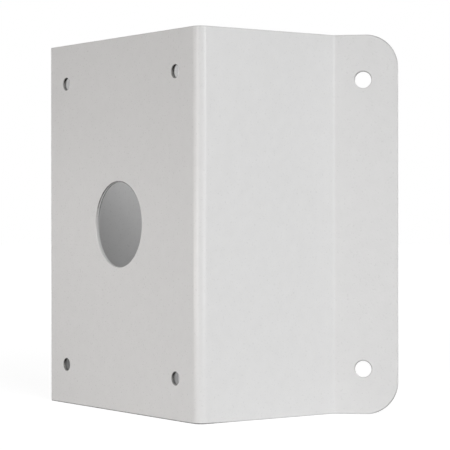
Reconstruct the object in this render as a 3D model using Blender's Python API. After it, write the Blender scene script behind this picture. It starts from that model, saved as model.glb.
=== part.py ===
"""Camera corner mount bracket: one steel sheet folded into a hat section.

The bracket carries a camera's wall arm on the outside corner of a building. It is made the way
the real one is: a flat blank with rounded corners and all its holes is cut from sheet, and four
folds then give the front plate, the two side panels and the two wall flanges.

Metres, +Z up. The front plate faces -Y, the bracket stands on its lower cut edges, and the
origin is on the floor in the middle of the bracket's box. The left half mirrors the right.
"""

import math
from collections import namedtuple

import bmesh
import bpy
from mathutils import Vector

# Sheet
SHEET = 0.002                # thickness of the coated steel
SIDE_BEND_RADIUS = 0.0035    # inside radius of the folds beside the plate
FLANGE_BEND_RADIUS = 0.002   # inside radius of the folds at the wall flanges
NEUTRAL_LINE = 0.42          # share of the thickness, from the inside of a fold, that keeps its length
EDGE_RADIUS = 0.0004         # rounding of every cut edge under the powder coat
EDGE_LIMIT = 0.45            # largest share of the thickness that the rounding may take

# Camera face: the holes' pattern sets the plate's size
CAMERA_HOLES_ACROSS = 0.1145
CAMERA_HOLES_UP = 0.1645
CAMERA_HOLE_BORE = 0.0068    # tapping size of an M8 thread
PLATE_SIDE_MARGIN = 0.022    # hole centre to the outside of the side panel
PLATE_END_MARGIN = 0.02275   # hole centre to the sheet's upper or lower edge
CABLE_HOLE_DIAMETER = 0.048

# Wall flanges
FLANGE_WIDTH = 0.0353        # fold line to free edge, on the outer face
FLANGE_CORNER_RADIUS = 0.018
ANCHOR_HOLE_DIAMETER = 0.009
ANCHOR_HOLE_FROM_FOLD = 0.016
ANCHOR_HOLE_END_MARGIN = 0.025
WALL_CORNER_GAP = 0.013      # room between the back of the plate and the building's corner

# Folds, in degrees
SIDE_FOLD = 90.0
FLANGE_FOLD = 45.0           # half of a square building corner

# Fineness of round stretches: the furthest that a facet lies from the true curve
FACET_DEVIATION = 0.00003
EDGE_FACETS = 2
FLAT_ANGLE = 1.0             # degrees within which neighbouring faces of the blank are one face
SMOOTH_ANGLE = 30.0          # degrees between facets that are still shaded as one surface
MERGE_DISTANCE = 0.000001

# Sizes that follow
PLATE_WIDTH = CAMERA_HOLES_ACROSS + 2 * PLATE_SIDE_MARGIN
HEIGHT = CAMERA_HOLES_UP + 2 * PLATE_END_MARGIN
SIDE_TURN = math.radians(SIDE_FOLD)
FLANGE_TURN = math.radians(FLANGE_FOLD)
SIDE_DEPTH = (
    PLATE_WIDTH / 2 / math.tan(FLANGE_TURN)
    + SHEET + WALL_CORNER_GAP - SHEET / math.sin(FLANGE_TURN)
)
FLANGE_SETBACK = FLANGE_BEND_RADIUS * math.tan(FLANGE_TURN / 2)

# A run is a straight or bent stretch of the half section, seen from above. Point and heading
# are where it starts on the outer face, start and length are measured along the flat blank.
# Radius is the bent outer face's, below zero where that face is the hollow one.
Run = namedtuple("Run", "start length point heading turn radius")


def clear_scene():
    """Remove whatever the scene holds."""
    for item in list(bpy.data.objects):
        bpy.data.objects.remove(item, do_unlink=True)


def facets(radius, turn):
    """Number of straight facets that follow an arc within the allowed deviation."""
    widest = 2 * math.acos(1 - FACET_DEVIATION / radius)
    return max(2, math.ceil(turn / widest))


def arc(centre_x, centre_y, radius, start, turn):
    """Points along an arc, both ends included."""
    count = facets(radius, turn)
    angles = [start + turn * step / count for step in range(count + 1)]
    return [(centre_x + radius * math.cos(a), centre_y + radius * math.sin(a)) for a in angles]


def circle(centre_x, centre_y, diameter):
    """Points round a hole, with one on each of its four quarter lines."""
    quarter = math.pi / 2
    points = []
    for index in range(4):
        points += arc(centre_x, centre_y, diameter / 2, index * quarter, quarter)[:-1]
    return points


def heading_vector(heading):
    """Direction of travel along the section, seen from above."""
    return Vector((math.cos(heading), math.sin(heading)))


def inward_vector(heading):
    """Direction from the outer face into the sheet, seen from above."""
    return Vector((-math.sin(heading), math.cos(heading)))


def folded_point(run, along, depth):
    """Plan position of a blank point: how far along its run, and how deep under the outer face."""
    if run.turn == 0:
        return run.point + heading_vector(run.heading) * along + inward_vector(run.heading) * depth
    centre = run.point + inward_vector(run.heading) * run.radius
    turned = run.heading + run.turn * along / run.length
    return centre - inward_vector(turned) * (run.radius - depth)


def half_section():
    """Runs of the right half, from the middle of the plate to the flange's free edge."""
    side_setback = (SIDE_BEND_RADIUS + SHEET) * math.tan(SIDE_TURN / 2)
    neutral_depth = NEUTRAL_LINE * SHEET
    stretches = (
        (PLATE_WIDTH / 2 - side_setback, 0, 0),
        ((SIDE_BEND_RADIUS + neutral_depth) * SIDE_TURN, SIDE_TURN, SIDE_BEND_RADIUS + SHEET),
        (SIDE_DEPTH - side_setback - FLANGE_SETBACK, 0, 0),
        ((FLANGE_BEND_RADIUS + neutral_depth) * FLANGE_TURN, -FLANGE_TURN, -FLANGE_BEND_RADIUS),
        (FLANGE_WIDTH - FLANGE_SETBACK, 0, 0),
    )
    runs = []
    start = 0
    point = Vector((0, 0))
    heading = 0
    for length, turn, radius in stretches:
        run = Run(start, length, point, heading, turn, radius)
        runs.append(run)
        start += length
        point = folded_point(run, length, 0)
        heading += turn
    return runs


def blank_outline(runs):
    """Outer edge of the flat blank: a rectangle whose corners become the flanges' corners."""
    half_length = runs[-1].start + runs[-1].length
    corner_x = half_length - FLANGE_CORNER_RADIUS
    corner_y = HEIGHT / 2 - FLANGE_CORNER_RADIUS
    quarter = math.pi / 2
    centres = ((corner_x, corner_y), (-corner_x, corner_y), (-corner_x, -corner_y), (corner_x, -corner_y))
    outline = []
    for index, (x, y) in enumerate(centres):
        outline += arc(x, y, FLANGE_CORNER_RADIUS, index * quarter, quarter)
    return outline


def blank_holes(runs):
    """Hole outlines of the flat blank: cable hole, camera screw holes and wall anchor holes."""
    anchor_x = runs[-1].start + ANCHOR_HOLE_FROM_FOLD - FLANGE_SETBACK
    anchor_y = HEIGHT / 2 - ANCHOR_HOLE_END_MARGIN
    holes = [circle(0, 0, CABLE_HOLE_DIAMETER)]
    for side in (-1, 1):
        for end in (-1, 1):
            camera_x = side * CAMERA_HOLES_ACROSS / 2
            camera_y = end * CAMERA_HOLES_UP / 2
            holes.append(circle(camera_x, camera_y, CAMERA_HOLE_BORE))
            holes.append(circle(side * anchor_x, end * anchor_y, ANCHOR_HOLE_DIAMETER))
    return holes


def cut_blank(runs):
    """Flat sheet with its holes and rounded cut edges, its outer face on top."""
    edge = min(EDGE_RADIUS, EDGE_LIMIT * SHEET)
    curve = bpy.data.curves.new("flat_blank", "CURVE")
    curve.dimensions = "2D"
    curve.fill_mode = "BOTH"
    curve.extrude = SHEET / 2 - edge
    curve.bevel_depth = edge
    curve.bevel_resolution = EDGE_FACETS - 1
    curve.offset = -edge
    for outline in [blank_outline(runs)] + blank_holes(runs):
        spline = curve.splines.new("POLY")
        spline.points.add(len(outline) - 1)
        for point, (x, y) in zip(spline.points, outline):
            point.co = (x, y, 0, 1)
        spline.use_cyclic_u = True
    blank = bpy.data.objects.new("flat_blank", curve)
    bpy.context.scene.collection.objects.link(blank)
    evaluated = blank.evaluated_get(bpy.context.evaluated_depsgraph_get())
    mesh = bpy.data.meshes.new_from_object(evaluated)
    bpy.data.objects.remove(blank, do_unlink=True)
    bpy.data.curves.remove(curve)
    return mesh


def score_folds(sheet, runs):
    """Cut lines across the blank where a fold starts and ends, and between its facets."""
    bmesh.ops.remove_doubles(sheet, verts=sheet.verts, dist=MERGE_DISTANCE)
    flat = math.radians(FLAT_ANGLE)
    bmesh.ops.dissolve_limit(sheet, angle_limit=flat, verts=sheet.verts, edges=sheet.edges)
    for run in runs:
        if run.turn == 0:
            continue
        rounded_side = max(run.radius, SHEET - run.radius)
        count = facets(rounded_side, abs(run.turn))
        for step in range(count + 1):
            line = run.start + run.length * step / count
            for side in (-1, 1):
                whole = sheet.verts[:] + sheet.edges[:] + sheet.faces[:]
                bmesh.ops.bisect_plane(
                    sheet, geom=whole, dist=MERGE_DISTANCE, plane_co=(side * line, 0, 0), plane_no=(1, 0, 0)
                )
    bmesh.ops.triangulate(sheet, faces=sheet.faces[:])


def fold(sheet, runs):
    """Carry every point of the blank to its place on the folded bracket, standing on the floor."""
    for vertex in sheet.verts:
        along, up, above = vertex.co
        distance = abs(along)
        run = [item for item in runs if item.start <= distance + MERGE_DISTANCE][-1]
        place = folded_point(run, distance - run.start, SHEET / 2 - above)
        vertex.co = (math.copysign(place.x, along), place.y, up + HEIGHT / 2)
    depths = [vertex.co.y for vertex in sheet.verts]
    middle = (min(depths) + max(depths)) / 2
    bmesh.ops.translate(sheet, verts=sheet.verts, vec=(0, -middle, 0))


def powder_coat():
    """Pale grey textured polyester powder over steel."""
    material = bpy.data.materials.new("powder_coated_steel")
    material.use_nodes = True
    shader = material.node_tree.nodes["Principled BSDF"]
    shader.inputs["Base Color"].default_value = (0.67, 0.66, 0.65, 1)
    shader.inputs["Roughness"].default_value = 0.5
    shader.inputs["Metallic"].default_value = 0
    return material


def corner_bracket():
    """The folded sheet, as one solid."""
    runs = half_section()
    mesh = cut_blank(runs)
    mesh.name = "corner_bracket"
    sheet = bmesh.new()
    sheet.from_mesh(mesh)
    score_folds(sheet, runs)
    fold(sheet, runs)
    bmesh.ops.recalc_face_normals(sheet, faces=sheet.faces)
    sheet.to_mesh(mesh)
    sheet.free()
    mesh.shade_smooth()
    mesh.set_sharp_from_angle(angle=math.radians(SMOOTH_ANGLE))
    mesh.materials.clear()
    mesh.materials.append(powder_coat())
    bracket = bpy.data.objects.new("corner_bracket", mesh)
    bpy.context.scene.collection.objects.link(bracket)
    return bracket


clear_scene()
corner_bracket()
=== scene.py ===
"""Camera corner mount bracket: its powder coated surface, its tapped threads and a small studio.

The bracket is one steel sheet. Its whole surface is worked out on the flat blank, where each point
has a distance along the sheet, a height up it and a depth under its outer face, and is then carried
round the four folds. The blank is the same left and right and above and below its middle, so one
quarter is worked out and mirrored. Metres, +Z up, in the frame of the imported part: the front plate
faces -Y and the bracket stands on the floor.
"""

import logging
import math
from dataclasses import dataclass, field
from enum import Enum
from itertools import product
from typing import Any, Iterator, Sequence

import bmesh
import bpy
import numpy as np
from mathutils import Matrix, Vector


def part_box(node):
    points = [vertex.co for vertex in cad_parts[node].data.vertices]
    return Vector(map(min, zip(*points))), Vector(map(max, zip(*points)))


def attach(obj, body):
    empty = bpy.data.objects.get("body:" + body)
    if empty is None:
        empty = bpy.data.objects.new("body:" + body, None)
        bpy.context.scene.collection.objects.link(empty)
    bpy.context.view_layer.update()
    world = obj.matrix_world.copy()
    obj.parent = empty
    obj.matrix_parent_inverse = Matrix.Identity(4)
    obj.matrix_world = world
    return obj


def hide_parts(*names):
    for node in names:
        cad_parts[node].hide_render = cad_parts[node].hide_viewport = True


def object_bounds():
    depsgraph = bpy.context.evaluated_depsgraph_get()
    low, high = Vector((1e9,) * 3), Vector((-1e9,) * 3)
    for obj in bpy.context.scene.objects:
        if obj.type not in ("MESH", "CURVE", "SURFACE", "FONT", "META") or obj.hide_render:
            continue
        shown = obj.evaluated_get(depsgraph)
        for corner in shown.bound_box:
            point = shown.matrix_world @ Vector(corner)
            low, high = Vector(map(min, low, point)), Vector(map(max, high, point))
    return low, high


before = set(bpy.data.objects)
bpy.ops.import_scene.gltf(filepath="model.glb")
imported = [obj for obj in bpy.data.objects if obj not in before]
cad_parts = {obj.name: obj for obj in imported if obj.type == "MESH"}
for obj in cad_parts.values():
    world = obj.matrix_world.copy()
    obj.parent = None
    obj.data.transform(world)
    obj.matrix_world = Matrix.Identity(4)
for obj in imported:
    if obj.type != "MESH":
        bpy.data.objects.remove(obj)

CAD_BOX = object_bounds()
CAD_NODE = "corner_bracket"
BODY = "root"

THIN_AND_SHADE = "thin_coat_and_shade"      # attribute: 0 where the coat colour is full, 1 where a cut edge is drawn dark, for thinner coat and for painted shade on edges that face down
MERGE_DISTANCE = 1e-6        # points closer than this are sewn into one
LINE_DIGITS = 9              # decimals to which grid lines are rounded before equal ones are merged
SMOOTH_ANGLE = 30.0          # degrees between facets that are still shaded as one surface

MIX_A = 6                    # colour sockets of a Mix node, which share their names with its others
MIX_B = 7
MIX_RESULT = 2

log = logging.getLogger("corner_bracket")


def linear(hex_colour: str) -> tuple[float, float, float, float]:
    """Turn an sRGB colour into the linear one that shaders take.

    The standard curve is a straight line near black, and above it a power of 2.4.

    Args:
        hex_colour: The colour as "#RRGGBB".

    Returns:
        Red, green, blue and an alpha of 1.
    """
    channels = [int(hex_colour[start : start + 2], 16) / 255 for start in (1, 3, 5)]
    red, green, blue = (c / 12.92 if c <= 0.04045 else ((c + 0.055) / 1.055) ** 2.4 for c in channels)
    return red, green, blue, 1.0


def add_node(
    tree: bpy.types.NodeTree,
    kind: str,
    settings: dict[str, Any] | None = None,
    inputs: dict[str | int, Any] | None = None,
) -> bpy.types.Node:
    """Add a node with its settings and links.

    Args:
        tree: The node tree that gets the node.
        kind: The node's type name in Blender.
        settings: Properties of the node and their values.
        inputs: Values for the node's inputs, or the sockets that feed them, by input name or number.

    Returns:
        The new node.
    """
    node = tree.nodes.new(kind)
    for name, value in (settings or {}).items():
        setattr(node, name, value)
    for name, value in (inputs or {}).items():
        if isinstance(value, bpy.types.NodeSocket):
            tree.links.new(value, node.inputs[name])
        else:
            node.inputs[name].default_value = value
    return node


def new_material(name: str) -> bpy.types.Material:
    """Make a material with an empty node tree.

    Args:
        name: The material's name.

    Returns:
        The material.
    """
    material = bpy.data.materials.new(name)
    material.use_nodes = True
    material.node_tree.nodes.clear()
    return material


def dress(piece: bpy.types.Object, material: bpy.types.Material) -> None:
    """Give a piece its material and the body that it rides on.

    Args:
        piece: The finished piece.
        material: Its finish.
    """
    piece.data.materials.append(material)
    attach(piece, BODY)


class Closing(Enum):
    """Which ways round a grid of points joins up with itself."""

    OPEN = (False, False)
    SECOND = (False, True)
    BOTH = (True, True)


def grid_quads(rows: int, columns: int, closing: Closing) -> np.ndarray:
    """Number the corners of the quads between the points of a grid.

    Quad (i, j) joins the points (i, j), (i + 1, j), (i + 1, j + 1) and (i, j + 1). Where the grid
    closes on itself, the number after the last one is the first.

    Args:
        rows: Points along the first parameter.
        columns: Points along the second parameter.
        closing: Which of the two parameters runs round in a ring.

    Returns:
        An array of shape (quads, 4).
    """
    ring_rows, ring_columns = closing.value
    row, column = np.meshgrid(
        np.arange(rows if ring_rows else rows - 1),
        np.arange(columns if ring_columns else columns - 1),
        indexing="ij",
    )
    next_row = (row + 1) % rows
    next_column = (column + 1) % columns
    corners = [
        row * columns + column,
        next_row * columns + column,
        next_row * columns + next_column,
        row * columns + next_column,
    ]
    return np.stack(corners, axis=-1).reshape(-1, 4)


@dataclass
class QuadSurface:
    """Quads gathered grid by grid into one closed mesh.

    Attributes:
        points: One array of shape (n, 3) for each grid.
        quads: One array of shape (m, 4) for each grid, numbered over all points.
        thin_and_shade: One array of n values for each grid, for the attribute of how dark the surface is
            drawn, as thinner coat and as painted shade.
        count: Points gathered so far.
    """

    points: list[np.ndarray] = field(default_factory=list)
    quads: list[np.ndarray] = field(default_factory=list)
    thin_and_shade: list[np.ndarray] = field(default_factory=list)
    count: int = 0

    def add_grid(
        self,
        grid: np.ndarray,
        closing: Closing,
        flipped: bool,
        thin_and_shade: np.ndarray | float = 0.0,
    ) -> None:
        """Add the quads between the points of one grid.

        Args:
            grid: Points of shape (rows, columns, 3).
            closing: Which of the two parameters runs round in a ring.
            flipped: True turns the faces over.
            thin_and_shade: How dark the surface is drawn, for thinner coat and painted shade, in a shape
                that fits (rows, columns).
        """
        rows, columns = grid.shape[:2]
        quads = grid_quads(rows, columns, closing) + self.count
        self.quads.append(quads[:, ::-1] if flipped else quads)
        self.points.append(grid.reshape(-1, 3))
        self.thin_and_shade.append(np.broadcast_to(thin_and_shade, (rows, columns)).ravel())
        self.count += rows * columns

    def to_object(self, name: str) -> bpy.types.Object:
        """Make the mesh and its object, with the grids sewn together where they meet.

        Args:
            name: The name of the object and of its mesh.

        Returns:
            The object, at the origin, with its place in its mesh.
        """
        mesh = bpy.data.meshes.new(name)
        mesh.from_pydata(np.concatenate(self.points), [], np.concatenate(self.quads))
        attribute = mesh.attributes.new(THIN_AND_SHADE, "FLOAT", "POINT")
        attribute.data.foreach_set("value", np.concatenate(self.thin_and_shade))
        sewn = bmesh.new()
        sewn.from_mesh(mesh)
        bmesh.ops.remove_doubles(sewn, verts=sewn.verts, dist=MERGE_DISTANCE)
        open_edges = sum(not edge.is_manifold for edge in sewn.edges)
        volume = sewn.calc_volume(signed=True)
        sewn.to_mesh(mesh)
        sewn.free()
        if open_edges or volume <= 0:
            raise ValueError(f"{name} has {open_edges} open edges and a volume of {volume}")
        mesh.shade_smooth()
        mesh.set_sharp_from_angle(angle=math.radians(SMOOTH_ANGLE))
        piece = bpy.data.objects.new(name, mesh)
        bpy.context.scene.collection.objects.link(piece)
        return piece


@dataclass
class FoldedSection:
    """Half section of the folded sheet, seen from above, from the plate's middle to the free edge.

    Five runs follow each other: half the plate, the side fold, the side panel, the flange fold and
    the wall flange. Folds keep the length of the sheet's neutral line.
    """

    plate_width: float = 0.1585
    sheet: float = 0.002
    side_bend_radius: float = 0.0035     # inside the fold
    flange_bend_radius: float = 0.002    # inside the fold
    neutral_line: float = 0.42           # share of the sheet from the inside of a fold
    side_fold: float = 90.0              # degrees
    flange_fold: float = 45.0            # degrees, half of a square building corner
    flange_width: float = 0.0353         # fold line to free edge, on the outer face
    wall_corner_gap: float = 0.013       # back of the plate to the building's corner
    starts: np.ndarray = field(init=False)      # one value for each run, as in the next five
    lengths: np.ndarray = field(init=False)
    turns: np.ndarray = field(init=False)
    radii: np.ndarray = field(init=False)
    headings: np.ndarray = field(init=False)
    points: np.ndarray = field(init=False)
    flange_setback: float = field(init=False)   # fold line to the fold's end

    def __post_init__(self) -> None:
        """Work out where each run starts, on the blank and in plan.

        The side panel is as deep as the building's corner needs: half the plate's width over the
        tangent of the flange's fold, plus the sheet and the gap, less the sheet over its sine.
        """
        side_turn = math.radians(self.side_fold)
        flange_turn = math.radians(self.flange_fold)
        side_setback = (self.side_bend_radius + self.sheet) * math.tan(side_turn / 2)
        self.flange_setback = self.flange_bend_radius * math.tan(flange_turn / 2)
        neutral_depth = self.neutral_line * self.sheet
        side_depth = (
            self.plate_width / 2 / math.tan(flange_turn)
            + self.sheet + self.wall_corner_gap - self.sheet / math.sin(flange_turn)
        )
        self.lengths = np.array([
            self.plate_width / 2 - side_setback,
            (self.side_bend_radius + neutral_depth) * side_turn,
            side_depth - side_setback - self.flange_setback,
            (self.flange_bend_radius + neutral_depth) * flange_turn,
            self.flange_width - self.flange_setback,
        ])
        self.turns = np.array([0, side_turn, 0, -flange_turn, 0])
        self.radii = np.array([0, self.side_bend_radius + self.sheet, 0, -self.flange_bend_radius, 0])
        self.starts = np.concatenate([[0], np.cumsum(self.lengths)[:-1]])
        self.headings = np.concatenate([[0], np.cumsum(self.turns)[:-1]])
        self.points = np.zeros((len(self.lengths), 2))
        for run in range(1, len(self.lengths)):
            self.points[run] = self.on_run(np.array(run - 1), self.lengths[run - 1], np.array(0.0))

    @property
    def end(self) -> float:
        """Distance along the blank from its middle to the flange's free edge."""
        return float(self.starts[-1] + self.lengths[-1])

    def on_run(self, run: np.ndarray, way: np.ndarray | float, depth: np.ndarray) -> np.ndarray:
        """Plan position of points on given runs.

        On a straight run it is the run's first point, plus the heading times the way gone, plus the
        inward direction times the depth. On a fold it is the fold's centre, minus the inward
        direction turned by the share of the fold that is done, times the radius at that depth.

        Args:
            run: The number of the run for each point.
            way: How far along the run each point lies.
            depth: How deep under the outer face each point lies.

        Returns:
            X and Y in the half section, with the plate's outer face on Y = 0.
        """
        heading = self.headings[run]
        turn = self.turns[run]
        turned = heading + turn * way / self.lengths[run]
        ahead = np.stack([np.cos(heading), np.sin(heading)], axis=-1)
        inward = np.stack([-np.sin(heading), np.cos(heading)], axis=-1)
        inward_there = np.stack([-np.sin(turned), np.cos(turned)], axis=-1)
        outer_radius = self.radii[run]
        first = self.points[run]
        straight = first + ahead * np.expand_dims(way, -1) + inward * np.expand_dims(depth, -1)
        centre = first + inward * np.expand_dims(outer_radius, -1)
        bent = centre - inward_there * np.expand_dims(outer_radius - depth, -1)
        return np.where(np.expand_dims(turn == 0, -1), straight, bent)

    def place(self, blank: np.ndarray, front: float, middle: float) -> np.ndarray:
        """Carry points of the flat blank to the folded bracket.

        Args:
            blank: Points of shape (..., 3): along from the middle, up from the middle, and depth.
            front: Y of the plate's outer face.
            middle: Z of the bracket's middle.

        Returns:
            The same points in the part's frame.
        """
        along, up, depth = np.moveaxis(blank, -1, 0)
        distance = np.abs(along)
        run = np.searchsorted(self.starts, distance + MERGE_DISTANCE, side="right") - 1
        plan = self.on_run(run, distance - self.starts[run], depth)
        return np.stack([np.sign(along) * plan[..., 0], front + plan[..., 1], middle + up], axis=-1)


@dataclass(frozen=True)
class ThinCoatAndShade:
    """How dark a cut edge is drawn where it faces up, and where it faces down.

    The dark colour stands partly for coat melted back from the edge and partly for painted shade:
    edges that face down, away from the lamps above, are drawn darker than those that face up.
    """

    up: float
    down: float
    start: float = -0.3     # sine of the angle at which an edge starts to count as facing down
    stop: float = 0.8       # and at which it fully does

    def at(self, facing_down: np.ndarray) -> np.ndarray:
        """Share of dark edge colour: a smooth step over the sine of the angle by which an edge faces
        down, which paints shade on edges that face down.
        """
        way = np.clip((facing_down - self.start) / (self.stop - self.start), 0, 1)
        return self.up + (self.down - self.up) * way**2 * (3 - 2 * way)


@dataclass
class EdgeProfile:
    """Profile of a cut edge, from the flat of the outer face, round the wall, to the inner face.

    Attributes:
        back: How far each point lies behind the cut line, into the sheet.
        depth: How deep each point lies under the outer face.
        thin_and_shade: How dark the edge is drawn there, from 0 to 1, for thinner coat and painted shade.
    """

    back: np.ndarray
    depth: np.ndarray
    thin_and_shade: np.ndarray

    @classmethod
    def rounded(
        cls, sheet: float, radius: float, flat: float, dark_strips: tuple[float, float], fade: float, facets: int
    ) -> "EdgeProfile":
        """Edge with both its corners rounded.

        Each corner is a quarter of a circle: back is the radius times one minus the sine of the
        angle turned, and depth is the radius times one minus its cosine. The whole rounding is drawn
        dark, as coat melted back and as painted shade, and is full again a little way along the face and
        the wall.

        Args:
            sheet: Thickness of the sheet.
            radius: Radius of the rounding.
            flat: Width of the flat strip beside it on the face, over which the coat grows full.
            dark_strips: Widths of the dark strips beside it on the wall, at the outer and at the inner
                face.
            fade: Width over which the coat then grows full.
            facets: Facets in each rounding.

        Returns:
            The profile.
        """
        angle = np.linspace(0, math.pi / 2, facets + 1)
        back = np.concatenate([[radius + flat], radius * (1 - np.sin(angle)), [0, 0]])
        depth = np.concatenate([[0], radius * (1 - np.cos(angle))])
        thin_and_shade = np.concatenate([[0], np.ones_like(angle), [1, 0]])
        outer, inner = (np.append(depth, [radius + strip, radius + strip + fade]) for strip in dark_strips)
        return cls(
            np.concatenate([back, back[::-1]]),
            np.concatenate([outer, sheet - inner[::-1]]),
            np.concatenate([thin_and_shade, thin_and_shade[::-1]]),
        )

    def recessed(self, recess: float, lip: float, sheet: float) -> "EdgeProfile":
        """The same edge with a groove in its wall, between two lips, that holds a thread.

        Args:
            recess: How far the groove goes back behind the cut line.
            lip: Depth of the lip at each face.
            sheet: Thickness of the sheet.

        Returns:
            The new profile.
        """
        half = len(self.back) // 2
        groove_back = np.array([0, recess, recess, 0])
        groove_depth = np.array([lip, lip, sheet - lip, sheet - lip])
        return EdgeProfile(
            np.concatenate([self.back[:half], groove_back, self.back[half:]]),
            np.concatenate([self.depth[:half], groove_depth, self.depth[half:]]),
            np.concatenate([self.thin_and_shade[:half], np.zeros_like(groove_back), self.thin_and_shade[half:]]),
        )

    def on_outline(self, outline: np.ndarray, outward: np.ndarray) -> np.ndarray:
        """Carry the profile along the blank's outer edge.

        Each point is the outline's point moved outward by the profile's first back less its own.

        Args:
            outline: Points of shape (n, 2), as far inside the cut line as the profile starts.
            outward: Outward direction at each of them.

        Returns:
            A grid of shape (profile, n, 3) on the blank.
        """
        reach = (self.back[0] - self.back)[:, None, None]
        flat = outline[None] + outward[None] * reach
        depth = np.broadcast_to(self.depth[:, None, None], flat.shape[:2] + (1,))
        return np.concatenate([flat, depth], axis=-1)


def directions(angles: np.ndarray) -> np.ndarray:
    """Directions of length one at the given angles, of shape (n, 2)."""
    return np.stack([np.cos(angles), np.sin(angles)], axis=-1)


def blank_points(along: np.ndarray | float, up: np.ndarray | float) -> np.ndarray:
    """Points of the blank, of shape (n, 2), where one of the two places may be the same for all."""
    return np.stack(np.broadcast_arrays(along, up), axis=-1)


def stretch(start: float, stop: float, step: float, ends: float = 0.0) -> np.ndarray:
    """Grid lines over a flat stretch, evenly spaced, with a narrow strip at each end if asked.

    The strips beside a fold keep its shading from running out over the flat.

    Args:
        start: Where the stretch starts.
        stop: Where it stops.
        step: The widest space between two lines.
        ends: Width of the strips.

    Returns:
        The places of the lines, both ends included.
    """
    low, high = start + ends, stop - ends
    inner = np.linspace(low, high, max(2, math.ceil((high - low) / step) + 1))
    return np.concatenate([[start], inner, [stop]]) if ends else inner


def sheet_grid(along: np.ndarray, up: np.ndarray) -> np.ndarray:
    """Points where the lines along the blank cross the lines up it, of shape (n, m, 2)."""
    return np.stack(np.meshgrid(along, up, indexing="ij"), axis=-1)


def ruled(inner: np.ndarray, outer: np.ndarray, rings: int) -> np.ndarray:
    """Surface of straight lines between two rows of points.

    A point lies on the line from an inner point to its outer one, a share of the way out that grows
    with the square of the ring's number, so that rings lie close together round a hole.

    Args:
        inner: Points of shape (n, 2).
        outer: Points of shape (n, 2).
        rings: Number of rings of quads.

    Returns:
        A grid of shape (rings + 1, n, 2).
    """
    share = (np.linspace(0, 1, rings + 1) ** 2)[:, None, None]
    return inner[None] * (1 - share) + outer[None] * share


def facing_angles(outer: np.ndarray, centre: np.ndarray) -> np.ndarray:
    """Even angles round a hole that turn, on the whole, with the outline round it.

    They are the even steps of one turn, plus the mean of how far the outline's own angles, as seen
    from the hole's centre, are ahead of those steps.

    Args:
        outer: A closed outline of shape (n, 2), anticlockwise.
        centre: The hole's centre.

    Returns:
        One angle for each point of the outline.
    """
    away = outer - centre
    seen = np.unwrap(np.arctan2(away[:, 1], away[:, 0]))
    even = np.arange(len(outer)) * 2 * math.pi / len(outer)
    return even + np.mean(seen - even)


@dataclass(frozen=True)
class Hole:
    """A round hole in the blank.

    Attributes:
        centre: Its centre on the blank.
        radius: Its radius where it is narrowest.
        edge: The profile of its edge.
        coat: How dark its edge is drawn, for thinner coat and for painted shade where it faces down.
    """

    centre: np.ndarray
    radius: float
    edge: EdgeProfile
    coat: ThinCoatAndShade

    def face(self, outline: np.ndarray, angles: np.ndarray, rings: int) -> np.ndarray:
        """Field of the face, from an angle on the hole's edge to each point of the outline round it."""
        rim = self.centre + directions(angles) * (self.radius + self.edge.back[0])
        return ruled(rim, outline, rings)

    def wall(self, angles: np.ndarray, end: int) -> tuple[np.ndarray, np.ndarray]:
        """The hole's edge, from the inner face out to the outer face.

        Each point lies on a circle whose radius is the hole's plus the profile's back.

        Args:
            angles: Angles round the hole.
            end: 1 for a hole above the blank's middle, -1 for one below.

        Returns:
            A grid of shape (profile, angles, 3), and how dark each of its points is drawn, for thinner
            coat and painted shade.
        """
        reach = (self.radius + self.edge.back[::-1])[:, None, None]
        flat = self.centre + directions(angles)[None] * reach
        depth = np.broadcast_to(self.edge.depth[::-1, None, None], flat.shape[:2] + (1,))
        # painted shade: the wall is drawn darker where it faces down, away from the lamps above
        thin_and_shade = np.outer(self.edge.thin_and_shade[::-1], self.coat.at(end * np.sin(angles)))
        return np.concatenate([flat, depth], axis=-1), thin_and_shade


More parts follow.
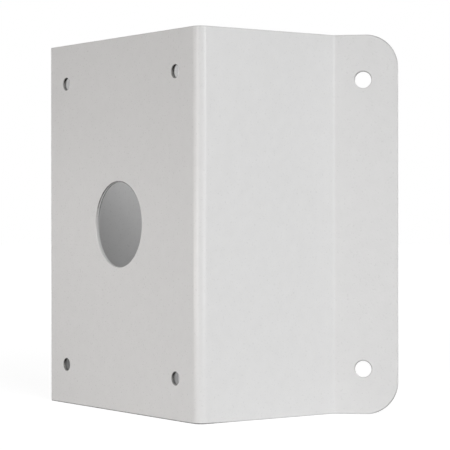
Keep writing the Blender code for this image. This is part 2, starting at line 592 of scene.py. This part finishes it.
@dataclass
class TappedThread:
    """Right-handed metric thread cut in the wall of one camera hole.

    The thread is a ring of its own in the sheet, between the two lips of coat.
    """

    name: str
    centre: tuple[float, float]     # X and Z of the hole
    front: float                    # Y of the plate's outer face
    start: float                    # depth at which the thread starts
    stop: float                     # depth at which it stops
    major_radius: float = 0.004
    pitch: float = 0.00125
    flank_angle: float = 60.0       # degrees between two flanks
    cut_depth: float = 5 / 8        # share of the height of a thread with sharp roots and crests
    root_flat: float = 1 / 8        # share of a pitch
    crest_flat: float = 1 / 4       # share of a pitch
    wall: float = 0.00002           # steel left behind the roots
    lead: float = 0.24              # share of a turn by which the thread starts late
    # painted light: where the thread faces up it is drawn partly in a light grey, as if lit from above
    coat: ThinCoatAndShade = ThinCoatAndShade(up=0.72, down=1.0)
    around: int = 96
    rows: int = 30

    def build(self, steel: bpy.types.Material) -> bpy.types.Object:
        """Make the ring and dress it.

        Its inner wall is a function of the angle and the depth: the radius falls from root to crest
        and rises again once for each pitch of the depth plus the angle's share of a turn, which
        makes the groove go deeper as it is followed clockwise. Roots and crests are flat, with
        straight flanks between them.

        Args:
            steel: The thread's finish.

        Returns:
            The thread, as one closed ring.
        """
        sharp_height = self.pitch / 2 / math.tan(math.radians(self.flank_angle) / 2)
        crest_radius = self.major_radius - self.cut_depth * sharp_height
        angle = np.linspace(0, 2 * math.pi, self.around, endpoint=False)
        depth = np.linspace(self.start, self.stop, self.rows + 1)
        turns = depth[:, None] / self.pitch + angle[None] / (2 * math.pi) - self.lead
        from_root = np.abs(turns % 1 - 0.5) * 2     # 1 in the middle of a crest
        rise = np.clip((from_root - self.root_flat) / (1 - self.crest_flat - self.root_flat), 0, 1)
        inner = self.major_radius + (crest_radius - self.major_radius) * rise
        outer = np.full((2, self.around), self.major_radius + self.wall)
        radius = np.concatenate([inner, outer])
        deep = np.concatenate([depth, [self.stop, self.start]])[:, None]
        x = self.centre[0] + radius * np.cos(angle)
        z = self.centre[1] + radius * np.sin(angle)
        y = np.broadcast_to(self.front + deep, x.shape)
        surface = QuadSurface()
        # painted light: the lower thread, which faces up, is drawn lighter
        thin_and_shade = self.coat.at(np.sin(angle))
        surface.add_grid(np.stack([x, y, z], axis=-1), Closing.BOTH, flipped=True, thin_and_shade=thin_and_shade)
        thread = surface.to_object(self.name)
        dress(thread, steel)
        return thread


@dataclass
class BracketSheet:
    """The folded sheet: front plate, side panels and wall flanges, with all their holes.

    Heights on the blank are measured from its middle.
    """

    height: float
    front: float
    section: FoldedSection = field(default_factory=FoldedSection)
    edge_radius: float = 0.0004
    camera_holes_across: float = 0.1145
    camera_holes_up: float = 0.1645
    camera_hole_radius: float = 0.00355    # of the coat's lip, just outside the thread
    thread_recess: float = 0.0005
    thread_lip: float = 0.0003
    lip_radius: float = 0.00025
    cable_hole_radius: float = 0.024
    anchor_hole_radius: float = 0.0045
    anchor_hole_from_fold: float = 0.016
    anchor_hole_end_margin: float = 0.025
    flange_corner_radius: float = 0.018
    step: float = 0.0045                   # widest grid space on the flats
    fold_step: float = 2.0                 # degrees of fold between grid lines
    corner_step: float = 3.75              # degrees of corner arc between points
    flat: float = 0.0003                   # strip beside a fold or a rounded edge
    dark_strips: tuple[float, float] = (0.00002, 0.00035)   # dark strips beside the roundings on the wall; the wider one, at the inner face, is painted shade along a hole's back edge
    fade: float = 0.0001                   # where the coat then grows full
    lip_flat: float = 0.0001               # strip beside a tapped hole's rounding on the face
    edge_facets: int = 5
    # How dark cut edges are drawn where they face up and where they face down: partly thinner coat, and
    # painted shade where they face down, away from the lamps above
    plate_outline_coat: ThinCoatAndShade = ThinCoatAndShade(up=0.1, down=0.85)   # painted shade: the plate's lower edge is drawn much darker
    outline_coat: ThinCoatAndShade = ThinCoatAndShade(up=0.1, down=0.2)
    outline_blend: float = 0.02            # past the side fold, from the plate's coat to the rest's
    corner_coat: float = 0.45              # share added on the flanges' corners, which are drawn darker there
    cable_hole_coat: ThinCoatAndShade = ThinCoatAndShade(up=0.0, down=1.0)
    camera_hole_coat: ThinCoatAndShade = ThinCoatAndShade(up=0.75, down=1.0)
    anchor_hole_coat: ThinCoatAndShade = ThinCoatAndShade(up=0.1, down=0.6)
    rings: int = 7
    plate_core: float = 0.036              # half width of the field round the cable hole
    plate_field: float = 0.0595            # half height of that field
    plain_edge: EdgeProfile = field(init=False)     # of every cut edge but the tapped holes'
    top: float = field(init=False)                  # highest line of the faces' grids
    free_edge: float = field(init=False)            # and their last line along the blank
    corner_centre: np.ndarray = field(init=False)   # of the arc round a flange's corner
    low_lines: np.ndarray = field(init=False)       # grid lines up the blank, as far as plate_field
    high_lines: np.ndarray = field(init=False)      # and from there to the top
    core_lines: np.ndarray = field(init=False)      # grid lines along it, as far as plate_core
    plate_lines: np.ndarray = field(init=False)     # and from there run by run, as in the next four
    fold_lines: np.ndarray = field(init=False)
    side_lines: np.ndarray = field(init=False)
    valley_lines: np.ndarray = field(init=False)
    flange_lines: np.ndarray = field(init=False)
    cable_hole: Hole = field(init=False)
    camera_hole: Hole = field(init=False)           # the tapped hole of one quarter
    anchor_hole: Hole = field(init=False)

    def __post_init__(self) -> None:
        """Work out the edge profiles, the grid lines and the holes of one quarter of the blank."""
        section = self.section
        self.plain_edge = EdgeProfile.rounded(
            section.sheet, self.edge_radius, self.flat, self.dark_strips, self.fade, self.edge_facets
        )
        strip = (self.thread_lip - self.lip_radius) / 3     # for the dark strip, for fading and for full coat
        lip_edge = EdgeProfile.rounded(
            section.sheet, self.lip_radius, self.lip_flat, (strip, strip), strip, self.edge_facets
        )
        tapped_edge = lip_edge.recessed(self.thread_recess, self.thread_lip, section.sheet)
        inset = self.edge_radius + self.flat
        self.top = self.height / 2 - inset
        self.free_edge = section.end - inset
        self.corner_centre = np.array([section.end, self.height / 2]) - self.flange_corner_radius
        self.low_lines = stretch(0, self.plate_field, self.step)
        self.high_lines = stretch(self.plate_field, self.top, self.step)
        self.core_lines = stretch(0, self.plate_core, self.step)
        self.plate_lines, self.fold_lines, self.side_lines, self.valley_lines, self.flange_lines = (
            self.run_lines(run) for run in range(len(section.starts))
        )
        self.cable_hole = Hole(np.zeros(2), self.cable_hole_radius, self.plain_edge, self.cable_hole_coat)
        centre = np.array([self.camera_holes_across, self.camera_holes_up]) / 2
        self.camera_hole = Hole(centre, self.camera_hole_radius, tapped_edge, self.camera_hole_coat)
        along = section.starts[-1] + self.anchor_hole_from_fold - section.flange_setback
        centre = np.array([along, self.height / 2 - self.anchor_hole_end_margin])
        self.anchor_hole = Hole(centre, self.anchor_hole_radius, self.plain_edge, self.anchor_hole_coat)

    def run_lines(self, run: int) -> np.ndarray:
        """Grid lines along one run of the section.

        Args:
            run: The run's number.

        Returns:
            The places of the lines on the blank.
        """
        section = self.section
        start = float(section.starts[run])
        stop = start + float(section.lengths[run])
        turn = abs(float(section.turns[run]))
        if turn:
            return np.linspace(start, stop, round(math.degrees(turn) / self.fold_step) + 1)
        if run == 0:
            lines = stretch(self.plate_core, stop, self.step, self.flat)
            return np.delete(lines, 1)      # no strip beside the field round the cable hole
        if run == len(section.starts) - 1:
            lines = stretch(start, self.free_edge, self.step, self.flat)
            return np.delete(lines, -2)     # nor at the free edge
        return stretch(start, stop, self.step, self.flat)

    def flange_border(self) -> np.ndarray:
        """Outer border of the flange's upper field: up its free edge, round, and along its top.

        Returns:
            Points just inside the rounded edge, as far as the flange's fold line.
        """
        angles = np.linspace(0, math.pi / 2, round(90 / self.corner_step) + 1)
        arc_radius = self.flange_corner_radius - self.edge_radius - self.flat
        arc = self.corner_centre + directions(angles) * arc_radius
        rise = stretch(self.plate_field, arc[0, 1], self.step)[:-1]
        run = stretch(self.flange_lines[0], arc[-1, 0], self.step)[:-1][::-1]
        return np.concatenate([blank_points(self.free_edge, rise), arc, blank_points(run, self.top)])

    def border(self) -> np.ndarray:
        """Outer border of the whole quarter.

        Returns:
            Points just inside the rounded edge, anticlockwise from its lower end to its middle.
        """
        lines = [self.core_lines, self.plate_lines, self.fold_lines, self.side_lines, self.valley_lines]
        run = np.unique(np.round(np.concatenate(lines), LINE_DIGITS))[:-1][::-1]
        rising = blank_points(self.free_edge, self.low_lines[:-1])
        return np.concatenate([rising, self.flange_border(), blank_points(run, self.top)])

    def outward(self, border: np.ndarray) -> np.ndarray:
        """Outward direction at points of the border: away from the rectangle up to the arc's centre."""
        away = border - np.minimum(border, self.corner_centre)
        return away / np.linalg.norm(away, axis=-1, keepdims=True)

    def cable_outline(self) -> np.ndarray:
        """Outline of the field round the cable hole.

        Returns:
            Points up the field's right side and back along its top.
        """
        right = blank_points(self.plate_core, self.low_lines)
        upper = blank_points(self.core_lines[::-1], self.plate_field)
        return np.concatenate([right, upper[1:]])

    def plate_outline(self) -> np.ndarray:
        """Outline of the plate's upper field.

        Returns:
            Points all the way round, anticlockwise from its lower right corner.
        """
        along, up = self.plate_lines, self.high_lines
        right = blank_points(along[-1], up)
        upper = blank_points(along[::-1], up[-1])
        left = blank_points(along[0], up[::-1])
        lower = blank_points(along, up[0])
        return np.concatenate([right[:-1], upper[:-1], left[:-1], lower[:-1]])

    def flange_outline(self) -> np.ndarray:
        """Outline of the flange's upper field, with its rounded corner.

        Returns:
            Points all the way round, anticlockwise from its lower right corner.
        """
        border = self.flange_border()
        left = blank_points(self.flange_lines[0], self.high_lines[::-1])
        lower = blank_points(self.flange_lines, self.plate_field)
        return np.concatenate([border[:-1], left[:-1], lower[:-1]])

    def holes(self) -> Iterator[tuple[Hole, np.ndarray, np.ndarray, Closing]]:
        """Holes of the quarter.

        Yields:
            The hole, the outline of the field round it, the angle round the hole for each of the
            outline's points, and how the grids between the two close.
        """
        outline = self.cable_outline()
        yield self.cable_hole, outline, np.linspace(0, math.pi / 2, len(outline)), Closing.OPEN
        outlines = (self.plate_outline(), self.flange_outline())
        for hole, outline in zip((self.camera_hole, self.anchor_hole), outlines):
            yield hole, outline, facing_angles(outline, hole.centre), Closing.SECOND

    def faces(self) -> Iterator[tuple[np.ndarray, Closing]]:
        """Fields of the quarter's face.

        Yields:
            A grid on the blank, without depth, and how it closes.
        """
        yield sheet_grid(self.core_lines, self.high_lines), Closing.OPEN
        yield sheet_grid(self.plate_lines, self.low_lines), Closing.OPEN
        for lines in (self.fold_lines, self.side_lines, self.valley_lines):
            yield sheet_grid(lines, self.low_lines), Closing.OPEN
            yield sheet_grid(lines, self.high_lines), Closing.OPEN
        yield sheet_grid(self.flange_lines, self.low_lines), Closing.OPEN
        for hole, outline, angles, closing in self.holes():
            yield hole.face(outline, angles, self.rings), closing

    def edges(self, end: int) -> Iterator[tuple[np.ndarray, Closing, np.ndarray]]:
        """Cut edges of the quarter, each a grid on the blank with how dark it is drawn, for thinner coat
        and painted shade.

        On the outer edge the share goes from the plate's to the other panels' over a stretch past
        the side fold. Round a flange's corner it rises by the sine of twice the angle turned.

        Args:
            end: 1 for a quarter above the middle, -1 for one below.

        Yields:
            The grid, how it closes, and the share at each of its points.
        """
        border = self.border()
        outward = self.outward(border)
        # painted shade: edges are drawn darker where they face down, the plate's lower edge most
        facing_down = -end * outward[:, 1]
        past_fold = np.clip((border[:, 0] - self.fold_lines[-1]) / self.outline_blend, 0, 1)
        coat = self.plate_outline_coat.at(facing_down) * (1 - past_fold)
        coat += self.outline_coat.at(facing_down) * past_fold
        coat += self.corner_coat * 2 * outward[:, 0] * outward[:, 1]
        edge = self.plain_edge
        yield edge.on_outline(border, outward), Closing.OPEN, np.outer(edge.thin_and_shade, coat)
        for hole, _, angles, closing in self.holes():
            grid, thin_and_shade = hole.wall(angles, end)
            yield grid, closing, thin_and_shade

    def threads(self) -> Iterator[TappedThread]:
        """Threads of the four camera holes.

        Yields:
            A thread, named for its place as it is seen from the front.
        """
        across, up = self.camera_hole.centre
        for side, end in product((-1, 1), repeat=2):
            yield TappedThread(
                f"thread_{'lower' if end < 0 else 'upper'}_{'left' if side < 0 else 'right'}",
                centre=(side * across, self.height / 2 + end * up),
                front=self.front,
                start=self.thread_lip,
                stop=self.section.sheet - self.thread_lip,
            )

    def build(self, coat: bpy.types.Material) -> bpy.types.Object:
        """Mirror the quarter to the whole blank, fold it, make the bracket's mesh and dress it.

        Args:
            coat: The bracket's finish.

        Returns:
            The bracket.
        """
        surface = QuadSurface()
        for side, end in product((1, -1), repeat=2):
            mirror = np.array([side, end, 1])
            mirrored = side * end < 0
            for flat_grid, closing in self.faces():
                for depth, inner in ((0.0, False), (self.section.sheet, True)):
                    level = np.full(flat_grid.shape[:2] + (1,), depth)
                    grid = np.concatenate([flat_grid, level], axis=-1) * mirror
                    surface.add_grid(self.folded(grid), closing, mirrored != inner)
            for grid, closing, thin_and_shade in self.edges(end):
                surface.add_grid(self.folded(grid * mirror), closing, mirrored, thin_and_shade)
        bracket = surface.to_object("powder_coated_bracket")
        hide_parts(CAD_NODE)
        dress(bracket, coat)
        return bracket

    def folded(self, grid: np.ndarray) -> np.ndarray:
        """Carry a grid of the blank to its place on the bracket."""
        return self.section.place(grid, self.front, self.height / 2)


@dataclass(frozen=True)
class PowderCoat:
    """Pale grey polyester powder, sprayed on steel sheet and melted in an oven.

    It gives the eye an even satin grey with a fine dimpled skin. Cut edges are drawn darker, partly as
    coat melted back over the steel and partly as painted shade, most where an edge faces down and
    along the inner end of a hole's wall.
    """

    colour: str = "#D9D9D9"
    cloudy_colour: str = "#D3D3D3"
    # dark colour of cut edges, for thinner coat over steel and for painted shade
    thin_and_shade_colour: str = "#282726"
    roughness: tuple[float, float] = (0.27, 0.33)
    ior: float = 1.5
    dimple: float = 0.0012          # real ones are 0.3 to 0.8 mm, drawn coarser so that they show
    dimple_height: float = 0.000045     # from the lowest to the highest that the noise could reach
    dimple_range: tuple[float, float] = (0.3, 0.7)      # noise values between which roughness changes
    cloud: float = 0.006            # faint patches where the powder landed thicker
    edge_patch: float = 0.004       # length over which the dark edge colour varies
    edge_range: tuple[float, float] = (0.35, 0.65)      # noise values between which it varies
    edge_share: tuple[float, float] = (0.7, 1.0)
    patch_detail: float = 3.0       # of the noise for both kinds of patch
    dimple_detail: float = 1.0

    def material(self) -> bpy.types.Material:
        """Make the coat's material.

        Returns:
            The material.
        """
        material = new_material("powder_coat")
        tree = material.node_tree
        place = add_node(tree, "ShaderNodeTexCoord").outputs["Object"]
        cloud, patches, dimples = (
            add_node(tree, "ShaderNodeTexNoise", {}, {
                "Vector": place,
                "Scale": 1 / size,
                "Detail": detail,
            }).outputs["Fac"]
            for size, detail in (
                (self.cloud, self.patch_detail),
                (self.edge_patch, self.patch_detail),
                (self.dimple, self.dimple_detail),
            )
        )
        body = add_node(tree, "ShaderNodeMix", {"data_type": "RGBA"}, {
            0: cloud,
            MIX_A: linear(self.colour),
            MIX_B: linear(self.cloudy_colour),
        })
        share = add_node(tree, "ShaderNodeMapRange", {}, {
            "Value": patches,
            "From Min": self.edge_range[0],
            "From Max": self.edge_range[1],
            "To Min": self.edge_share[0],
            "To Max": self.edge_share[1],
        })
        # painted shade and thinner coat on cut edges, as the mesh's attribute gives them
        thin_and_shade = add_node(tree, "ShaderNodeAttribute", {"attribute_name": THIN_AND_SHADE})
        dark_edge = add_node(tree, "ShaderNodeMath", {"operation": "MULTIPLY"}, {
            0: thin_and_shade.outputs["Fac"],
            1: share.outputs["Result"],
        })
        colour = add_node(tree, "ShaderNodeMix", {"data_type": "RGBA"}, {
            0: dark_edge.outputs["Value"],
            MIX_A: body.outputs[MIX_RESULT],
            MIX_B: linear(self.thin_and_shade_colour),
        })
        roughness = add_node(tree, "ShaderNodeMapRange", {}, {
            "Value": dimples,
            "From Min": self.dimple_range[0],
            "From Max": self.dimple_range[1],
            "To Min": self.roughness[0],
            "To Max": self.roughness[1],
        })
        bump = add_node(tree, "ShaderNodeBump", {}, {
            "Strength": 1.0,
            "Distance": self.dimple_height,
            "Height": dimples,
        })
        shader = add_node(tree, "ShaderNodeBsdfPrincipled", {}, {
            "Base Color": colour.outputs[MIX_RESULT],
            "Metallic": 0.0,
            "IOR": self.ior,
            "Roughness": roughness.outputs["Result"],
            "Normal": bump.outputs["Normal"],
        })
        add_node(tree, "ShaderNodeOutputMaterial", {}, {"Surface": shader.outputs["BSDF"]})
        return material


@dataclass(frozen=True)
class CutSteel:
    """Bare low-carbon steel as a thread tap leaves it, dark with cutting oil.

    It gives the eye a near black groove, turned grey lower down where the thread faces up, which is
    painted light from the lamps above.
    """

    colour: str = "#363431"
    oiled_colour: str = "#161514"
    # painted light: the grey of the thread where it faces up
    painted_light_colour: str = "#D9D9D8"
    roughness: float = 0.38
    smear: float = 0.0008           # length of the smears of oil
    smear_detail: float = 2.0

    def material(self) -> bpy.types.Material:
        """Make the bare thread's material.

        Returns:
            The material.
        """
        material = new_material("cut_steel")
        tree = material.node_tree
        place = add_node(tree, "ShaderNodeTexCoord").outputs["Object"]
        smears = add_node(tree, "ShaderNodeTexNoise", {}, {
            "Vector": place,
            "Scale": 1 / self.smear,
            "Detail": self.smear_detail,
        })
        steel = add_node(tree, "ShaderNodeMix", {"data_type": "RGBA"}, {
            0: smears.outputs["Fac"],
            MIX_A: linear(self.colour),
            MIX_B: linear(self.oiled_colour),
        })
        thin_and_shade = add_node(tree, "ShaderNodeAttribute", {"attribute_name": THIN_AND_SHADE})
        # painted light: where the thread faces up it is mixed toward the light grey and made less
        # metallic
        colour = add_node(tree, "ShaderNodeMix", {"data_type": "RGBA"}, {
            0: thin_and_shade.outputs["Fac"],
            MIX_A: linear(self.painted_light_colour),
            MIX_B: steel.outputs[MIX_RESULT],
        })
        shader = add_node(tree, "ShaderNodeBsdfPrincipled", {}, {
            "Base Color": colour.outputs[MIX_RESULT],
            "Metallic": thin_and_shade.outputs["Fac"],
            "Roughness": self.roughness,
        })
        add_node(tree, "ShaderNodeOutputMaterial", {}, {"Surface": shader.outputs["BSDF"]})
        return material


@dataclass(frozen=True)
class SoftBox:
    """A square studio lamp behind white cloth, aimed at the bracket.

    Azimuth 0 stands in front of the plate and 90 to its right, seen from the camera's side.
    """

    name: str
    azimuth: float      # degrees
    elevation: float    # degrees
    size: float
    watts: float
    distance: float = 2.0
    colour: str = "#FFFFFF"

    def add(self, aim: Vector) -> None:
        """Hang the lamp.

        Args:
            aim: The point that it shines at.
        """
        lamp = bpy.data.lights.new(self.name, "AREA")
        lamp.shape = "SQUARE"
        lamp.size = self.size
        lamp.energy = self.watts
        lamp.color = linear(self.colour)[:3]
        azimuth = math.radians(self.azimuth)
        elevation = math.radians(self.elevation)
        away = Vector((
            math.sin(azimuth) * math.cos(elevation),
            -math.cos(azimuth) * math.cos(elevation),
            math.sin(elevation),
        ))
        stand = bpy.data.objects.new(self.name, lamp)
        stand.location = aim + away * self.distance
        stand.rotation_mode = "QUATERNION"
        stand.rotation_quaternion = (-away).to_track_quat("-Z", "Y")
        bpy.context.scene.collection.objects.link(stand)


@dataclass(frozen=True)
class Studio:
    """White paper on a darker table, white surroundings and soft lamps.

    The paper lights the bracket from below, and more so near its foot. To the camera the whole
    floor is white, with the bracket's shadow on it.
    """

    lamps: Sequence[SoftBox]
    floor_radius: float = 6.0
    white: str = "#FFFFFF"
    paper_colour: str = "#F2F2F2"
    table_colour: str = "#9A9A9A"
    paper_radius: float = 0.3       # where the paper starts to give way to the table
    table_radius: float = 0.7       # where only the table is left
    floor_glow: float = 0.8         # share of the floor that the camera sees without shadow
    glow_strength: tuple[float, float] = (1.15, 1.25)   # near and far, up to plain white
    glow_radius: float = 1.5        # where the lamps' light on the floor has run out
    surroundings: float = 0.16      # strength of the light from all round
    floor_rings: int = 24
    floor_sides: int = 96

    def build(self, aim: Vector) -> None:
        """Lay the floor, light the surroundings and hang the lamps.

        Args:
            aim: The point that the lamps shine at.
        """
        self.floor()
        self.world()
        for lamp in self.lamps:
            lamp.add(aim)

    def floor(self) -> None:
        """Lay a round floor: a point is its ring's radius times its side's direction."""
        radius = self.floor_radius * np.linspace(0, 1, self.floor_rings + 1)[1:, None]
        angle = np.linspace(0, 2 * math.pi, self.floor_sides, endpoint=False)[None]
        x, y = radius * np.cos(angle), radius * np.sin(angle)
        grid = np.stack([x, y, np.zeros_like(x)], axis=-1)
        quads = grid_quads(self.floor_rings, self.floor_sides, Closing.SECOND)
        mesh = bpy.data.meshes.new("paper_floor")
        middle = np.arange(self.floor_sides)
        mesh.from_pydata(grid.reshape(-1, 3), [], quads.tolist() + [middle.tolist()])
        floor = bpy.data.objects.new("paper_floor", mesh)
        bpy.context.scene.collection.objects.link(floor)
        floor.data.materials.append(self.paper())

    def paper(self) -> bpy.types.Material:
        """Matt paper that fades into the table, and is white to the camera, shadow and all.

        Returns:
            The paper's material.
        """
        material = new_material("white_paper")
        tree = material.node_tree
        place = add_node(tree, "ShaderNodeTexCoord").outputs["Object"]
        distance = add_node(tree, "ShaderNodeVectorMath", {"operation": "LENGTH"}, {0: place})
        faded = add_node(tree, "ShaderNodeMapRange", {"interpolation_type": "SMOOTHSTEP"}, {
            "Value": distance.outputs["Value"],
            "From Min": self.paper_radius,
            "From Max": self.table_radius,
        })
        surface = add_node(tree, "ShaderNodeMix", {"data_type": "RGBA"}, {
            0: faded.outputs["Result"],
            MIX_A: linear(self.paper_colour),
            MIX_B: linear(self.table_colour),
        })
        lit = add_node(tree, "ShaderNodeBsdfDiffuse", {}, {"Color": surface.outputs[MIX_RESULT]})
        white = add_node(tree, "ShaderNodeBsdfDiffuse", {}, {"Color": linear(self.white)})
        strength = add_node(tree, "ShaderNodeMapRange", {"interpolation_type": "SMOOTHSTEP"}, {
            "Value": distance.outputs["Value"],
            "From Min": self.paper_radius,
            "From Max": self.glow_radius,
            "To Min": self.glow_strength[0],
            "To Max": self.glow_strength[1],
        })
        glow = add_node(tree, "ShaderNodeEmission", {}, {
            "Color": linear(self.white),
            "Strength": strength.outputs["Result"],
        })
        shown = add_node(tree, "ShaderNodeMixShader", {}, {
            0: self.floor_glow,
            1: white.outputs["BSDF"],
            2: glow.outputs["Emission"],
        })
        ray = add_node(tree, "ShaderNodeLightPath")
        floor = add_node(tree, "ShaderNodeMixShader", {}, {
            0: self.background_ray(tree, ray),
            1: lit.outputs["BSDF"],
            2: shown.outputs["Shader"],
        })
        add_node(tree, "ShaderNodeOutputMaterial", {}, {"Surface": floor.outputs["Shader"]})
        return material

    def world(self) -> None:
        """Light from all round, which the camera, metal and glass see as plain white."""
        world = bpy.data.worlds.new("white_surroundings")
        bpy.context.scene.world = world
        world.use_nodes = True
        tree = world.node_tree
        tree.nodes.clear()
        ray = add_node(tree, "ShaderNodeLightPath")
        seen = self.background_ray(tree, ray)
        strength = add_node(tree, "ShaderNodeMapRange", {}, {
            "Value": seen,
            "To Min": self.surroundings,
            "To Max": 1.0,
        })
        white = add_node(tree, "ShaderNodeBackground", {}, {
            "Color": linear(self.white),
            "Strength": strength.outputs["Result"],
        })
        add_node(tree, "ShaderNodeOutputWorld", {}, {"Surface": white.outputs["Background"]})

    @staticmethod
    def background_ray(tree: bpy.types.NodeTree, ray: bpy.types.Node) -> bpy.types.NodeSocket:
        """Tell the rays that see a white background from those that light the bracket.

        Args:
            tree: The node tree that gets the nodes.
            ray: Its Light Path node.

        Returns:
            One for rays from the camera, from a gloss or through glass, else zero.
        """
        first = add_node(tree, "ShaderNodeMath", {"operation": "MAXIMUM"}, {
            0: ray.outputs["Is Camera Ray"],
            1: ray.outputs["Is Glossy Ray"],
        })
        both = add_node(tree, "ShaderNodeMath", {"operation": "MAXIMUM"}, {
            0: first.outputs["Value"],
            1: ray.outputs["Is Transmission Ray"],
        })
        return both.outputs["Value"]


@dataclass(frozen=True)
class PhotoCamera:
    """The photograph's camera: far off, level with the bracket's middle, to the right of its plate.

    Its place and its lens are fitted to the outline, the folds and the holes in the photograph.
    """

    location: tuple[float, float, float] = (0.852322, -0.591422, 0.108721)
    azimuth: float = 54.5863        # degrees
    down_tilt: float = 0.2285       # degrees
    roll: float = -0.0502           # degrees
    lens: float = 143.053           # mm
    sensor: float = 36.0            # mm

    def add(self) -> None:
        """Set up the camera and make it the scene's."""
        camera = bpy.data.cameras.new("photo_camera")
        camera.lens = self.lens
        camera.sensor_width = self.sensor
        stand = bpy.data.objects.new("photo_camera", camera)
        turn = Matrix.Rotation(math.radians(self.azimuth), 3, "Z")
        tilt = Matrix.Rotation(math.radians(90 - self.down_tilt), 3, "X")
        roll = Matrix.Rotation(math.radians(self.roll), 3, "Z")
        stand.location = self.location
        stand.rotation_euler = (turn @ tilt @ roll).to_euler()
        bpy.context.scene.collection.objects.link(stand)
        bpy.context.scene.camera = stand


# The watts are matched to how bright each panel is in the photograph.
LAMPS = (
    SoftBox("key_lamp", azimuth=75, elevation=35, size=0.6, watts=11.7),
    SoftBox("high_right_lamp", azimuth=105, elevation=35, size=0.9, watts=4.5),
    SoftBox("low_right_lamp", azimuth=102, elevation=18, size=0.9, watts=6.8),
    SoftBox("front_lamp", azimuth=-30, elevation=5, size=0.9, watts=4.0, colour="#FFFAF6"),
    SoftBox("front_right_lamp", azimuth=15, elevation=5, size=0.5, watts=5.1, colour="#FFFAF6"),
    SoftBox("rear_lamp", azimuth=-150, elevation=20, size=0.9, watts=2.8),
    SoftBox("side_lamp", azimuth=95, elevation=10, size=0.12, watts=0.16, distance=0.7),
    SoftBox("left_side_lamp", azimuth=-60, elevation=0, size=0.12, watts=0.035, distance=0.7),
    SoftBox(
        "left_foot_lamp", azimuth=-10, elevation=-5, size=0.1, watts=0.22, distance=0.45, colour="#FFFAF6"
    ),
    SoftBox("middle_foot_lamp", azimuth=20, elevation=-5, size=0.1, watts=0.13, distance=0.45),
    SoftBox("right_foot_lamp", azimuth=80, elevation=-5, size=0.1, watts=0.13, distance=0.45),
)


def main() -> None:
    """Build the bracket, its threads and the studio round them."""
    logging.basicConfig(level=logging.INFO, format="%(name)s: %(message)s")
    bpy.context.scene.view_settings.view_transform = "Standard"
    low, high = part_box(CAD_NODE)
    sheet = BracketSheet(height=high.z - low.z, front=low.y)
    pieces = [sheet.build(PowderCoat().material())]
    steel = CutSteel().material()
    pieces += [thread.build(steel) for thread in sheet.threads()]
    for piece in pieces:
        log.info("%s: %d quads, %s", piece.name, len(piece.data.polygons), piece.active_material.name)
    low, high = CAD_BOX
    Studio(LAMPS).build((low + high) / 2)
    PhotoCamera().add()


if __name__ == "__main__":
    main()
